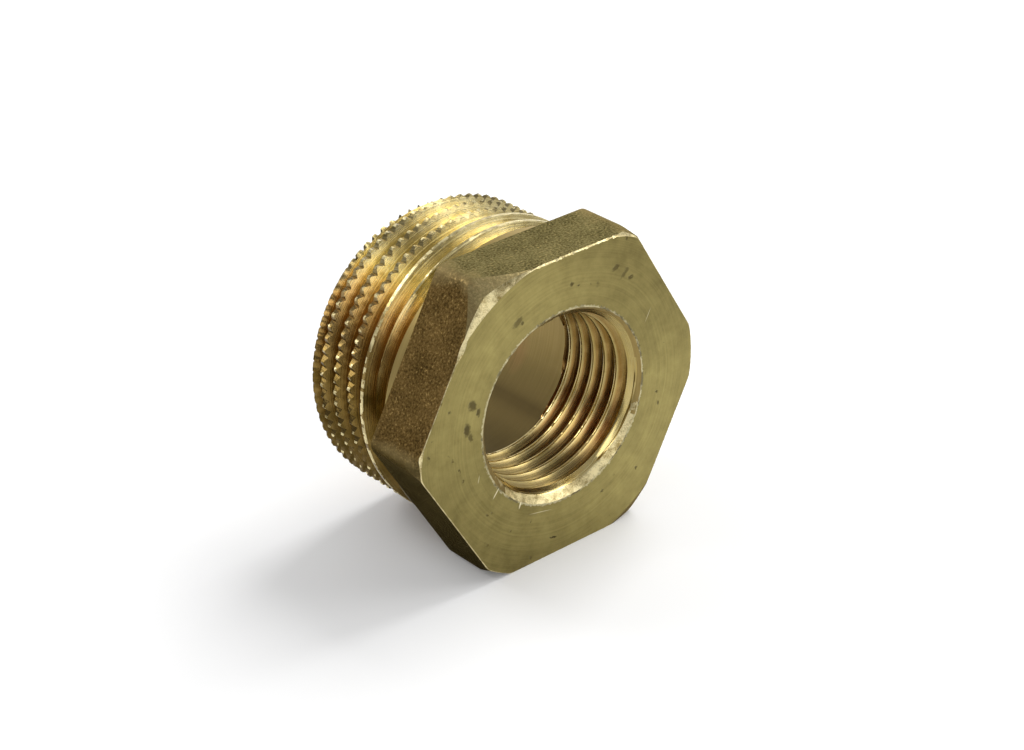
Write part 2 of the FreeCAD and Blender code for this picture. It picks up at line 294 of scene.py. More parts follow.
def faced_brass():
    """Brass faced on a lathe, then handled and stained.

    The tool's rings scatter light across themselves, so two opposite sectors shine, and these two
    sectors are also painted paler as a painted sheen. The outer ring is duller, and a few stains, pits
    and scratches lie where the photograph shows them.
    """
    material, add = new_material("faced brass")
    place = add("ShaderNodeTexCoord", output="Object")
    split = add("ShaderNodeSeparateXYZ", [place]).node.outputs
    flat = add("ShaderNodeCombineXYZ", [split["X"], 0.0, split["Z"]])
    radius = add("ShaderNodeVectorMath", [flat], output="Value", operation="LENGTH")
    along_rings = add("ShaderNodeVectorMath", [flat, (0.0, 1.0, 0.0)], operation="CROSS_PRODUCT")
    # Rings 0.4 mm apart and finer. Each set is seen in patches, so that no ring runs all round.
    patches = add(NOISE, {"Vector": place, "Scale": 1 / (6 * MM), "Detail": 2.0})
    patches = add(RANGE, {"Value": patches, "From Min": 0.4, "From Max": 0.6})
    sets = []
    for start, sway in RING_SETS:
        wander = add(NOISE, {"Vector": place, "Scale": 1 / (7 * MM), "Detail": 0.0})
        wander = add(MATH, [wander, sway, radius], operation="MULTIPLY_ADD")
        wander = add(MATH, [wander, start], operation="ADD")
        sets.append(add(NOISE, {
            "W": wander,
            "Scale": 1 / (0.4 * MM),
            "Detail": 4.0,
            "Roughness": 0.75,
        }, noise_dimensions="1D"))
    rings = add("ShaderNodeMix", {"Factor": patches, "A": sets[0], "B": sets[1]}, output="Result")
    mottle = add(NOISE, {
        "Vector": place,
        "Scale": 1 / (2.2 * MM),
        "Detail": 7.0,
        "Roughness": 0.68,
    })
    # Dull outer ring, from about 15 mm outwards
    sway = add(MATH, [mottle, 2.2 * MM, radius], operation="MULTIPLY_ADD")
    dull = add(RANGE, {"Value": sway, "From Min": 15.6 * MM, "From Max": 18.0 * MM})
    tone = add(MATH, [rings, 0.7, mottle], operation="MULTIPLY_ADD")
    tone = add(RANGE, {"Value": tone, "From Min": 0.4, "From Max": 1.3})
    tone = add(MATH, [dull, -0.14, tone], operation="MULTIPLY_ADD")
    # Painted sheen: the two shining sectors are painted paler
    for side, gain in SHEEN_SIDES:
        towards = (math.sin(math.radians(side)), 0.0, math.cos(math.radians(side)))
        painted_sheen = add("ShaderNodeVectorMath", [flat, towards], output="Value",
                    operation="DOT_PRODUCT")
        painted_sheen = add(RANGE, {"Value": painted_sheen, "From Min": 4 * MM, "From Max": 15 * MM, "To Max": gain})
        tone = add(MATH, [tone, painted_sheen], operation="ADD")
    colour = add("ShaderNodeMix", {
        "Factor": tone,
        "A": linear("#685C33"),
        "B": linear("#AA9D61"),
    }, output="Result", data_type="RGBA")
    # Ragged outlines for the stains, whose grit is 0.4 mm
    ragged = add(NOISE, {"Vector": place, "Scale": 1 / (0.4 * MM), "Detail": 3.0}, output="Color")
    ragged = add("ShaderNodeVectorMath", [ragged, (0.5, 0.5, 0.5)], operation="SUBTRACT")
    ragged = add("ShaderNodeVectorMath", {0: ragged, "Scale": 0.7 * MM}, operation="SCALE")
    ragged = add("ShaderNodeVectorMath", [ragged, place], operation="ADD")
    levels = []
    for marks, ground in ((STAINS, ragged), (SCRATCHES, place)):
        level = 0.0
        for across, up, half_length, half_width, tilt, strength in marks:
            near = add("ShaderNodeMapping", {
                "Vector": ground,
                "Location": (across * MM, 0.0, up * MM),
                "Rotation": (0.0, math.radians(-tilt), 0.0),
                "Scale": (half_length * MM, 1.0, half_width * MM),
            }, vector_type="TEXTURE")
            near = add("ShaderNodeVectorMath", [near], output="Value", operation="LENGTH")
            mark = add(RANGE, {
                "Value": near,
                "From Min": 0.6,
                "From Max": 1.1,
                "To Min": strength,
                "To Max": 0.0,
            })
            level = add(MATH, [mark, level], operation="MAXIMUM")
        levels.append(level)
    stained, scratched = levels
    # Fine pits and dirt, a few to the square centimetre
    pits = add("ShaderNodeTexVoronoi", {"Vector": ragged, "Scale": 1 / (1.5 * MM)}, output="Distance")
    pits = add(RANGE, {
        "Value": pits,
        "From Min": 0.08,
        "From Max": 0.16,
        "To Min": 0.65,
        "To Max": 0.0,
    })
    rare = add(RANGE, {"Value": patches, "From Min": 0.6, "From Max": 0.9})
    pits = add(MATH, [pits, rare], operation="MULTIPLY")
    stained = add(MATH, [stained, pits], operation="MAXIMUM")
    # A burr along the mouth's edge, about 0.2 mm wide, here bright and there dark
    burr = add(NOISE, {"Vector": place, "Scale": 1 / (0.35 * MM), "Detail": 4.0, "Roughness": 0.7})
    edge = add(MATH, [burr, -1.0 * MM, radius], operation="MULTIPLY_ADD")
    edge = add(RANGE, {
        "Value": edge,
        "From Min": MOUTH_RADIUS - 0.34 * MM,
        "From Max": MOUTH_RADIUS - 0.26 * MM,
        "To Min": 1.0,
        "To Max": 0.0,
    })
    dark_burr = add(RANGE, {"Value": mottle, "From Min": 0.47, "From Max": 0.55, "To Max": 0.75})
    dark_burr = add(MATH, [dark_burr, edge], operation="MULTIPLY")
    stained = add(MATH, [stained, dark_burr], operation="MAXIMUM")
    bright_burr = add(MATH, [edge, dark_burr], operation="SUBTRACT")
    scratched = add(MATH, [bright_burr, 0.45, scratched], operation="MULTIPLY_ADD")
    for share, tint in ((stained, "#4A4029"), (scratched, "#EFE6C0")):
        colour = add("ShaderNodeMix", {
            "Factor": share,
            "A": colour,
            "B": linear(tint),
        }, output="Result", data_type="RGBA")
    rough = add(RANGE, {
        "Value": rings,
        "From Min": 0.25,
        "From Max": 0.75,
        "To Min": 0.34,
        "To Max": 0.5,
    })
    rough = add(MATH, [stained, 0.2, rough], operation="MULTIPLY_ADD")
    height = add(MATH, [stained, -1.5, rings], operation="MULTIPLY_ADD")
    bump = add("ShaderNodeBump", {
        "Strength": 0.9,
        "Distance": 0.03 * MM,
        "Height": height,
    })
    surface = add("ShaderNodeBsdfPrincipled", {
        "Base Color": colour,
        "Metallic": 1.0,
        "Roughness": rough,
        "Anisotropic": 0.75,
        "Tangent": along_rings,
        "Normal": bump,
    })
    add("ShaderNodeOutputMaterial", {"Surface": surface})
    return material


# The flats that get painted shade, by the way that they face: the left-hand flats browner and darker,
# and the lower left-hand flat darker still
LEFT_SHADE_SIDE = (-0.87, 0.0, 0.5)
LOW_SHADE_SIDE = (-0.87, 0.0, -0.5)


def forged_skin():
    """Hot-forged and blasted brass, never machined.

    A sandy grain covers it, and brown oxide sits in the hollows. The left-hand flats are painted
    browner and darker as painted shade, the lower left-hand flat darker still, and the tops of the
    grains are painted paler as painted highlights.
    """
    material, add = new_material("forged brass")
    place = add("ShaderNodeTexCoord", output="Object")
    # Grains of 0.25 mm
    grain = add(NOISE, {
        "Vector": place,
        "Scale": 1 / (0.25 * MM),
        "Detail": 3.0,
        "Roughness": 0.65,
    })
    patch = add(NOISE, {
        "Vector": place,
        "Scale": 1 / (3 * MM),
        "Detail": 4.0,
    })
    tone = add(MATH, [patch, 0.35, grain], operation="MULTIPLY_ADD")
    tone = add(RANGE, {"Value": tone, "From Min": 0.5, "From Max": 0.92})
    facing = add("ShaderNodeNewGeometry", output="Normal")
    # Painted shade: the flats that face the left are painted browner and darker
    left_shade = add("ShaderNodeVectorMath", [facing, LEFT_SHADE_SIDE], output="Value",
                  operation="DOT_PRODUCT")
    left_shade = add(RANGE, {"Value": left_shade, "From Min": 0.6, "From Max": 0.95})
    # Painted shade: the lower left-hand flat, which faces the floor, is painted darker
    low_shade = add("ShaderNodeVectorMath", [facing, LOW_SHADE_SIDE], output="Value",
                operation="DOT_PRODUCT")
    low_shade = add(RANGE, {"Value": low_shade, "From Min": 0.6, "From Max": 0.9, "To Max": 0.7})
    # Hollows and tops of the grain, each with its plain colour and its colour with painted shade on the
    # left-hand flats
    levels = []
    for plain, brown in (("#4A452C", "#4C3C1F"), ("#A2976A", "#94794A")):
        levels.append(add("ShaderNodeMix", {
            "Factor": left_shade,
            "A": linear(plain),
            "B": linear(brown),
        }, output="Result", data_type="RGBA"))
    colour = add("ShaderNodeMix", {
        "Factor": tone,
        "A": levels[0],
        "B": levels[1],
    }, output="Result", data_type="RGBA")
    # Painted highlights: the tops of the grains are painted paler
    painted_glint = add(RANGE, {"Value": grain, "From Min": 0.62, "From Max": 0.74})
    # The corners and their bevels are rubbed lighter
    split = add("ShaderNodeSeparateXYZ", [place]).node.outputs
    flat = add("ShaderNodeCombineXYZ", [split["X"], 0.0, split["Z"]])
    radius = add("ShaderNodeVectorMath", [flat], output="Value", operation="LENGTH")
    rubbed = add(MATH, [patch, 2 * MM, radius], operation="MULTIPLY_ADD")
    rubbed = add(RANGE, {
        "Value": rubbed,
        "From Min": 19.7 * MM,
        "From Max": 20.6 * MM,
        "To Max": 0.7,
    })
    bevelled = add("ShaderNodeVectorMath", [facing, (0.0, -1.0, 0.0)], output="Value",
                   operation="DOT_PRODUCT")
    bevelled = add(RANGE, {"Value": bevelled, "From Min": 0.15, "From Max": 0.4, "To Max": 0.6})
    rubbed = add(MATH, [rubbed, bevelled], operation="MAXIMUM")
    for share, tint in ((painted_glint, "#C0A268"), (rubbed, "#9A8A60"), (low_shade, "#40361E")):
        colour = add("ShaderNodeMix", {
            "Factor": share,
            "A": colour,
            "B": linear(tint),
        }, output="Result", data_type="RGBA")
    rough = add(RANGE, {
        "Value": grain,
        "From Min": 0.5,
        "From Max": 0.75,
        "To Min": 0.6,
        "To Max": 0.3,
    })
    bump = add("ShaderNodeBump", {
        "Strength": 1.0,
        "Distance": 0.06 * MM,
        "Height": grain,
    })
    surface = add("ShaderNodeBsdfPrincipled", {
        "Base Color": colour,
        "Metallic": 1.0,
        "Specular Tint": linear("#6A5A3A"),
        "Roughness": rough,
        "Normal": bump,
    })
    add("ShaderNodeOutputMaterial", {"Surface": surface})
    return material


def scraped_brass():
    """Bare brass that a blunt tool or a blow has scraped.

    It is paler than the metal round it, with a fine torn grain that scatters the light.
    """
    material, add = new_material("scraped brass")
    place = add("ShaderNodeTexCoord", output="Object")
    # Torn grain of 0.15 mm, and uneven patches of 1.2 mm
    grain = add(NOISE, {"Vector": place, "Scale": 1 / (0.15 * MM), "Detail": 3.0, "Roughness": 0.7})
    patch = add(NOISE, {"Vector": place, "Scale": 1 / (1.2 * MM), "Detail": 3.0})
    tone = add(MATH, [patch, 1.6, grain], operation="MULTIPLY_ADD")
    tone = add(RANGE, {"Value": tone, "From Min": 0.95, "From Max": 1.5})
    colour = add("ShaderNodeMix", {
        "Factor": tone,
        "A": linear("#8E7C4C"),
        "B": linear("#EADCAA"),
    }, output="Result", data_type="RGBA")
    bump = add("ShaderNodeBump", {"Strength": 0.5, "Distance": 0.02 * MM, "Height": grain})
    rough = add(RANGE, {
        "Value": patch,
        "From Min": 0.3,
        "From Max": 0.7,
        "To Min": 0.32,
        "To Max": 0.5,
    })
    surface = add("ShaderNodeBsdfPrincipled", {
        "Base Color": colour,
        "Metallic": 1.0,
        "Roughness": rough,
        "Normal": bump,
    })
    add("ShaderNodeOutputMaterial", {"Surface": surface})
    return material


# Outside thread, G 1
# The turned spigot behind the hexagon: a right-hand V thread that starts from a ring groove beside
# the collar. It is the head's own brass. A knurling wheel has notched its last three crests into
# rows of pointed teeth.

FLANK_SLOPE = math.tan(math.radians(27.5))
# Turns of wall beyond each end, and rows of it that fold flat over the end
SPARE_TURNS = 2.0
FOLD_ROWS = 3.0
# Rows beside a crest's middle that move down with a notch
NOTCHED_ROWS = 2.5
# Torn metal on the crests: its grain, how fast it fades down the flanks, and how near the ends it stops
TEAR_GRAIN = 0.5 * MM
TEAR_FADE = 3.0
TEAR_MARGIN = 0.3 * MM
SAME_PLACE = 0.001 * MM
MERGE_DISTANCE = 0.002 * MM


def thread_tree(name, sizes, section, places, limit, keep, notched=None):
    """Geometry Nodes for a threaded wall, a sheet whose rows follow the helix.

    The section gives the groove's depth by distance from its root, and places where the rows
    lie, both as shares of half the pitch. Rows that run past an end of the wall fold flat over
    it, out to the flange radius there. The limit gives the radius that chamfers leave, and keep
    is how it meets the thread: the smaller radius on an outside wall, the larger one in a bore.
    """
    tree = bpy.data.node_groups.new(name, "GeometryNodeTree")
    tree.interface.new_socket("Geometry", in_out="INPUT", socket_type="NodeSocketGeometry")
    tree.interface.new_socket("Geometry", in_out="OUTPUT", socket_type="NodeSocketGeometry")
    for label in sizes:
        tree.interface.new_socket(label, in_out="INPUT", socket_type="NodeSocketFloat")
    tree.interface.new_socket("Material", in_out="INPUT", socket_type="NodeSocketMaterial")
    given = tree.nodes.new("NodeGroupInput").outputs
    add = functools.partial(add_node, tree)

    # Turns of wall to cover, with the spare turns before the start and after the end
    length = add(MATH, [given["End"], given["Start"]], operation="SUBTRACT")
    turns = add(MATH, [length, given["Pitch"]], operation="DIVIDE")
    turns = add(MATH, [turns], operation="CEIL")
    turns = add(MATH, [turns, 2 * SPARE_TURNS], operation="ADD")
    rows = add(MATH, [turns, given["Rows per Turn"], 1.0], operation="MULTIPLY_ADD")
    grid = add("GeometryNodeMeshGrid", {
        "Size X": 1.0,
        "Size Y": 1.0,
        "Vertices X": COLUMNS + 1,
        "Vertices Y": rows,
    })
    split = add("ShaderNodeSeparateXYZ", [add("GeometryNodeInputPosition")]).node.outputs
    around = add(MATH, [split["X"], 0.5], operation="ADD")
    angle = add(MATH, [around, 2 * math.pi, FIRST_COLUMN], operation="MULTIPLY_ADD")
    full_turns = add(MATH, [angle, 2 * math.pi], operation="DIVIDE")

    # Rows about each crest, drawn to the places where the section turns
    row = add(MATH, [split["Y"], 0.5], operation="ADD")
    row = add(MATH, [row, turns], operation="MULTIPLY")
    crest = add(MATH, [row], operation="ROUND")
    beside = add(MATH, [row, crest], operation="SUBTRACT")
    apart = add(MATH, [beside], operation="ABSOLUTE")
    drawn = add("ShaderNodeFloatCurve", {"Value": add(MATH, [apart, 2.0], operation="MULTIPLY")})
    shape_curve(drawn, places)
    drawn = add(MATH, [drawn, 0.5], operation="MULTIPLY")
    lead = add(MATH, [given["Start"], given["First Crest"]], operation="SUBTRACT")
    lead = add(MATH, [lead, given["Pitch"]], operation="DIVIDE")
    first_row = add(MATH, [add(MATH, [lead], operation="FLOOR"), SPARE_TURNS], operation="SUBTRACT")
    crest = add(MATH, [crest, first_row], operation="ADD")
    crest_turns = add(MATH, [crest, full_turns], operation="ADD")
    notch = 0.0
    if notched:
        crest_place = add(MATH, [crest_turns, given["Pitch"], given["First Crest"]],
                          operation="MULTIPLY_ADD")
        notch = notched(add, given, angle, crest_place)
        # The crest's edges move down the flanks to where the notch's floor meets them
        shift = add(MATH, [FLANK_SLOPE, given["Pitch"]], operation="DIVIDE")
        shift = add(MATH, [shift, notch], operation="MULTIPLY")
        edge = add(MATH, [apart, given["Rows per Turn"]], operation="MULTIPLY")
        low_edge = add(MATH, [edge, 1.0], operation="MINIMUM")
        high_edge = add(MATH, [edge, NOTCHED_ROWS], operation="LESS_THAN")
        shift = add(MATH, [shift, add(MATH, [low_edge, high_edge], operation="MULTIPLY")],
                    operation="MULTIPLY")
        drawn = add(MATH, [drawn, shift], operation="ADD")
    drawn = add(MATH, [drawn, add(MATH, [beside], operation="SIGN")], operation="MULTIPLY")
    helix = add(MATH, [crest_turns, drawn], operation="ADD")
    helix = add(MATH, [helix, given["Pitch"], given["First Crest"]], operation="MULTIPLY_ADD")
    along = add(MATH, [helix, given["Start"]], operation="MAXIMUM")
    along = add(MATH, [along, given["End"]], operation="MINIMUM")

    # Depth of the groove, from 0 on the crest to 1 at the root
    phase = add(MATH, [along, given["First Crest"]], operation="SUBTRACT")
    phase = add(MATH, [phase, given["Pitch"]], operation="DIVIDE")
    phase = add(MATH, [phase, full_turns], operation="SUBTRACT")
    turn = add(MATH, [phase], operation="FLOOR")
    middle = add(MATH, [turn, 0.5], operation="ADD")
    from_root = add(MATH, [add(MATH, [phase, middle], operation="SUBTRACT")], operation="ABSOLUTE")
    root = add(MATH, [middle, full_turns], operation="ADD")
    root = add(MATH, [root, given["Pitch"], given["First Crest"]], operation="MULTIPLY_ADD")
    cut = add(MATH, [given["Runout"], SAME_PLACE], operation="SUBTRACT")
    cut = add(MATH, [root, cut], operation="GREATER_THAN")
    ring = add(MATH, [along, given["Runout"]], operation="SUBTRACT")
    ring = add(MATH, [add(MATH, [ring], operation="ABSOLUTE"), given["Pitch"]], operation="DIVIDE")
    ring = add(MATH, [ring, 0.5], operation="MINIMUM")
    depths = []
    for distance, share in ((from_root, cut), (ring, given["Ring Groove"])):
        doubled = add(MATH, [distance, 2.0], operation="MULTIPLY")
        depth = add("ShaderNodeFloatCurve", {"Value": doubled})
        shape_curve(depth, section)
        depths.append(add(MATH, [depth, share], operation="MULTIPLY"))
    depth = add(MATH, depths, operation="MAXIMUM")
    radius = add(MATH, [given["Root Radius"], given["Crest Radius"]], operation="SUBTRACT")
    radius = add(MATH, [radius, depth, given["Crest Radius"]], operation="MULTIPLY_ADD")

    # Torn metal along the crests, a few hundredths of a millimetre
    sine = add(MATH, [angle], operation="SINE")
    cosine = add(MATH, [angle], operation="COSINE")
    tear = add(NOISE, {
        "Vector": add("ShaderNodeCombineXYZ", [
            add(MATH, [sine, given["Crest Radius"]], operation="MULTIPLY"),
            along,
            add(MATH, [cosine, given["Crest Radius"]], operation="MULTIPLY"),
        ]),
        "Scale": 1 / TEAR_GRAIN,
        "Detail": 3.0,
    })
    tear = add(MATH, [tear, 0.5], operation="SUBTRACT")
    high = add(MATH, [1.0, depth], operation="SUBTRACT")
    high = add(MATH, [high, TEAR_FADE], operation="POWER")
    tear = add(MATH, [tear, high], operation="MULTIPLY")
    from_start = add(MATH, [along, given["Start"]], operation="SUBTRACT")
    from_end = add(MATH, [given["End"], along], operation="SUBTRACT")
    margin = add(MATH, [from_start, from_end], operation="MINIMUM")
    margin = add(MATH, [margin, 1 / TEAR_MARGIN], operation="MULTIPLY")
    margin = add(MATH, [margin, 1.0], operation="MINIMUM")
    tear = add(MATH, [tear, margin], operation="MULTIPLY")
    radius = add(MATH, [tear, given["Tear"], radius], operation="MULTIPLY_ADD")
    if notched:
        floor = add(MATH, [given["Crest Radius"], notch], operation="SUBTRACT")
        radius = add(MATH, [radius, floor], operation="MINIMUM")
    radius = add(MATH, [radius, limit(add, given, full_turns, along)], operation=keep)

    # Flat folds over the two ends
    step = add(MATH, [given["Pitch"], given["Rows per Turn"]], operation="DIVIDE")
    step = add(MATH, [step, FOLD_ROWS], operation="MULTIPLY")
    for first, last, flange in (
        (helix, given["Start"], given["Start Flange"]),
        (given["End"], helix, given["End Flange"]),
    ):
        beyond = add(MATH, [last, first], operation="SUBTRACT")
        beyond = add(MATH, [beyond, 0.0], operation="MAXIMUM")
        share = add(MATH, [beyond, step], operation="DIVIDE")
        share = add(MATH, [share, 1.0], operation="MINIMUM")
        reach = add(MATH, [flange, radius], operation="SUBTRACT")
        radius = add(MATH, [share, reach, radius], operation="MULTIPLY_ADD")

    position = add("ShaderNodeCombineXYZ", [
        add(MATH, [sine, radius], operation="MULTIPLY"),
        along,
        add(MATH, [cosine, radius], operation="MULTIPLY"),
    ])
    wall = add("GeometryNodeSetPosition", {"Geometry": grid, "Position": position})
    wall = add("GeometryNodeMergeByDistance", {"Geometry": wall, "Distance": MERGE_DISTANCE})
    wall = add("GeometryNodeRealizeInstances", {"Geometry": wall})
    wall = add("GeometryNodeSetMaterial", {"Geometry": wall, "Material": given["Material"]})
    add("NodeGroupOutput", {"Geometry": wall})
    return tree


def shape_curve(socket, points):
    """Give a curve node straight runs between points that start at 0 and end at 1."""
    curve = socket.node.mapping.curves[0].points
    curve[0].location = points[0]
    curve[1].location = points[-1]
    for point in points[1:-1]:
        curve.new(*point)
    for point in curve:
        point.handle_type = "VECTOR"
    socket.node.mapping.update()


def grown(name, tree, sizes, material):
    """The mesh that a tree makes from its sizes."""
    seed = bpy.data.objects.new(name, bpy.data.meshes.new(name))
    bpy.context.scene.collection.objects.link(seed)
    modifier = seed.modifiers.new(name, "NODES")
    modifier.node_group = tree
    identifiers = {item.name: item.identifier for item in tree.interface.items_tree
                   if item.in_out == "INPUT"}
    for label, value in sizes.items():
        modifier[identifiers[label]] = value
    modifier[identifiers["Material"]] = material
    evaluated = seed.evaluated_get(bpy.context.evaluated_depsgraph_get())
    mesh = bpy.data.meshes.new_from_object(evaluated)
    bpy.data.objects.remove(seed)
    return mesh


# The inside thread's grooves get painted shade from here back, behind its smooth band
BAND_BACK = (1.4 * MM, 2.2 * MM)
NOTCH_SHADE = "#4C3C1A"


def thread_brass(name, sizes, metal, groove, painted_shade, line_depth, gloss):
    """Free-cutting brass straight from the threading tool.

    Fine lines run round it where the tool's edge went, so it gleams in streaks. Between the flanks, and
    more on the sides that painted_shade names, shade is painted in, darker and browner.
    """
    material, add = new_material(name)
    place = add("ShaderNodeTexCoord", output="Object")
    split = add("ShaderNodeSeparateXYZ", [place]).node.outputs
    flat = add("ShaderNodeCombineXYZ", [split["X"], 0.0, split["Z"]])
    radius = add("ShaderNodeVectorMath", [flat], output="Value", operation="LENGTH")
    # Tool lines 0.16 mm apart and finer, which lie mostly by the distance from the axis
    wander = add(NOISE, {"Vector": place, "Scale": 1 / (9 * MM), "Detail": 0.0})
    level = add(MATH, [split["Y"], 0.15, radius], operation="MULTIPLY_ADD")
    level = add(MATH, [wander, 0.1 * MM, level], operation="MULTIPLY_ADD")
    lines = add(NOISE, {
        "W": level,
        "Scale": 1 / (0.16 * MM),
        "Detail": 3.0,
        "Roughness": 0.7,
    }, noise_dimensions="1D")
    stain = add(NOISE, {"Vector": place, "Scale": 1 / (1.6 * MM), "Detail": 5.0})
    tone = add(MATH, [lines, 1.2, stain], operation="MULTIPLY_ADD")
    colour = add("ShaderNodeMix", {
        "Factor": add(RANGE, {"Value": tone, "From Min": 0.8, "From Max": 1.4}),
        "A": linear(metal[0]),
        "B": linear(metal[1]),
    }, output="Result", data_type="RGBA")
    # Painted shade in the grooves: the pair of shares gives the depths where the painted shade starts
    # and is full
    depth = abs(sizes["Root Radius"] - sizes["Crest Radius"])
    groove_shade = add(MATH, [radius, sizes["Crest Radius"]], operation="SUBTRACT")
    groove_shade = add(MATH, [groove_shade], operation="ABSOLUTE")
    groove_shade = add(RANGE, {
        "Value": groove_shade,
        "From Min": groove[0] * depth,
        "From Max": groove[1] * depth,
    })
    behind = add(RANGE, {
        "Value": split["Y"],
        "From Min": BAND_BACK[0],
        "From Max": BAND_BACK[1],
    })
    groove_shade = add(MATH, [groove_shade, behind], operation="MULTIPLY")
    # The painted shade's shares are of the grooves and of the whole surface
    for side, first, last, in_groove, all_over, tint in painted_shade:
        reach = add("ShaderNodeVectorMath", [flat, side], output="Value", operation="DOT_PRODUCT")
        reach = add(RANGE, {"Value": reach, "From Min": first * MM, "From Max": last * MM})
        share = add(MATH, [groove_shade, in_groove, all_over], operation="MULTIPLY_ADD")
        share = add(MATH, [share, reach], operation="MULTIPLY")
        share = add(MATH, [share, add(RANGE, {
            "Value": stain,
            "From Min": 0.25,
            "From Max": 0.6,
            "To Min": 0.6,
        })], operation="MULTIPLY")
        colour = add("ShaderNodeMix", {
            "Factor": share,
            "A": colour,
            "B": linear(tint),
        }, output="Result", data_type="RGBA")
    # Painted shade in the notches, whose sides are the only ones that face along the thread
    facing = add("ShaderNodeNewGeometry", output="Normal")
    along_ring = add("ShaderNodeVectorMath", [flat, (0.0, 1.0, 0.0)], operation="CROSS_PRODUCT")
    along_ring = add("ShaderNodeVectorMath", [along_ring], operation="NORMALIZE")
    turned = add("ShaderNodeVectorMath", [facing, along_ring], output="Value",
                 operation="DOT_PRODUCT")
    turned = add(RANGE, {
        "Value": add(MATH, [turned], operation="ABSOLUTE"),
        "From Min": 0.3,
        "From Max": 0.5,
        "To Max": 0.65,
    })
    colour = add("ShaderNodeMix", {
        "Factor": turned,
        "A": colour,
        "B": linear(NOTCH_SHADE),
    }, output="Result", data_type="RGBA")
    rough = add(RANGE, {
        "Value": lines,
        "From Min": 0.3,
        "From Max": 0.7,
        "To Min": gloss,
        "To Max": gloss + 0.14,
    })
    bump = add("ShaderNodeBump", {
        "Strength": line_depth,
        "Distance": 0.03 * MM,
        "Height": lines,
    })
    surface = add("ShaderNodeBsdfPrincipled", {
        "Base Color": colour,
        "Metallic": 1.0,
        "Roughness": rough,
        "Normal": bump,
    })
    add("ShaderNodeOutputMaterial", {"Surface": surface})
    return material


def end_chamfer(add, given, full_turns, along):
    """Chamfer of 45 degrees on the free end."""
    radius = add(MATH, [given["Crest Radius"], given["End"]], operation="ADD")
    radius = add(MATH, [radius, along], operation="SUBTRACT")
    return add(MATH, [radius, given["End Chamfer"]], operation="SUBTRACT")


def notch_depth(add, given, angle, crest_place):
    """Depth of the V notches on the crests that lie past the notches' start."""
    turns = add(MATH, [angle, FIRST_COLUMN], operation="SUBTRACT")
    turns = add(MATH, [turns, 2 * math.pi], operation="DIVIDE")
    notch = add(MATH, [turns, given["Notches"], 0.5], operation="MULTIPLY_ADD")
    notch = add(MATH, [add(MATH, [notch], operation="FRACT"), 0.5], operation="SUBTRACT")
    notch = add(MATH, [add(MATH, [notch], operation="ABSOLUTE"), given["Notch Spread"]],
                operation="MULTIPLY")
    notch = add(MATH, [1.0, notch], operation="SUBTRACT")
    notch = add(MATH, [notch, 0.0], operation="MAXIMUM")
    notch = add(MATH, [notch, given["Notch Depth"]], operation="MULTIPLY")
    begun = add(MATH, [crest_place, given["Notch Start"]], operation="GREATER_THAN")
    return add(MATH, [notch, begun], operation="MULTIPLY")


THREAD_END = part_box(NODE)[1].y
END_FACE_RADIUS = 12.6 * MM
# Straight flanks between a flat root and a flat crest, each a sixth of half the pitch
OUTSIDE_SECTION = ((0.0, 1.0), (1 / 6, 1.0), (5 / 6, 0.0), (1.0, 0.0))
# A row on the crest's edge and one close behind it, to keep the edge crisp
OUTSIDE_PLACES = (
    (0.0, 0.0),
    (1 / 6, 1 / 6),
    (2 / 6, 0.2),
    (3 / 6, 0.58),
    (4 / 6, 0.71),
    (5 / 6, 5 / 6),
    (1.0, 1.0),
)
outside_sizes = {
    "Crest Radius": 16.6245 * MM,
    "Root Radius": 15.146 * MM,
    "Pitch": 2.309 * MM,
    "First Crest": 10.78 * MM,
    "Runout": 9.626 * MM,
    "Ring Groove": 1.0,
    "Start": COLLAR_END,
    "End": THREAD_END,
    "Start Flange": COLLAR_RADIUS,
    "End Flange": END_FACE_RADIUS,
    "Rows per Turn": 12.0,
    "Tear": 0.08 * MM,
    "End Chamfer": 0.7 * MM,
    "Notches": float(NOTCH_COUNT),
    "Notch Depth": 0.52 * MM,
    "Notch Spread": 2.25,
    "Notch Start": 13.95 * MM,
}
# Painted shade by the direction in which it deepens, where it starts and is full in millimetres, its
# shares of the grooves and of the whole surface, and colour; on the outside thread it darkens the lower
# left-hand side
OUTSIDE_SHADE = (
    ((-0.94, 0.0, -0.34), 4.0, 8.5, 0.4, 0.5, "#B27C2A"),
    ((-0.94, 0.0, -0.34), 9.5, 14.0, 0.0, 0.88, "#524214"),
)
outside_brass = thread_brass("threaded brass", outside_sizes, ("#B19D5F", "#E4D5A0"), (0.1, 0.9),
                             OUTSIDE_SHADE, 0.7, 0.16)
outside_tree = thread_tree("outside thread", outside_sizes, OUTSIDE_SECTION, OUTSIDE_PLACES,
                           end_chamfer, "MINIMUM", notch_depth)
outside_thread = grown("outside_thread", outside_tree, outside_sizes, outside_brass)

# Most of the tops of the plain crests, and of the teeth's tips, are torn and matt
CREST_TOP = outside_sizes["Crest Radius"] - 0.07 * MM
CREST_GRAIN = 0.6 * MM
CREST_TORN = -0.1
for face in outside_thread.polygons:
    face.material_index = THREADED
    torn = noise.noise(face.center / CREST_GRAIN) > CREST_TORN
    if torn and math.hypot(face.center.x, face.center.z) > CREST_TOP:
        face.material_index = SCRAPED


# Plain bore and end face
# Behind the inside thread the brass is bored out wider and plainly, up to the free end of the
# outside thread. A small chamfer breaks the edge between the bore and the end face.

REAR_BORE_RADIUS = 12.0 * MM
BORE_SHOULDER = 11.3 * MM
BORE_CHAMFER = 0.4 * MM
COPPER_PLACE = (10.8 * MM, 20.0 * MM, -5.2 * MM)
COPPER_REACH = (2.5 * MM, 1.4 * MM, 2.5 * MM)


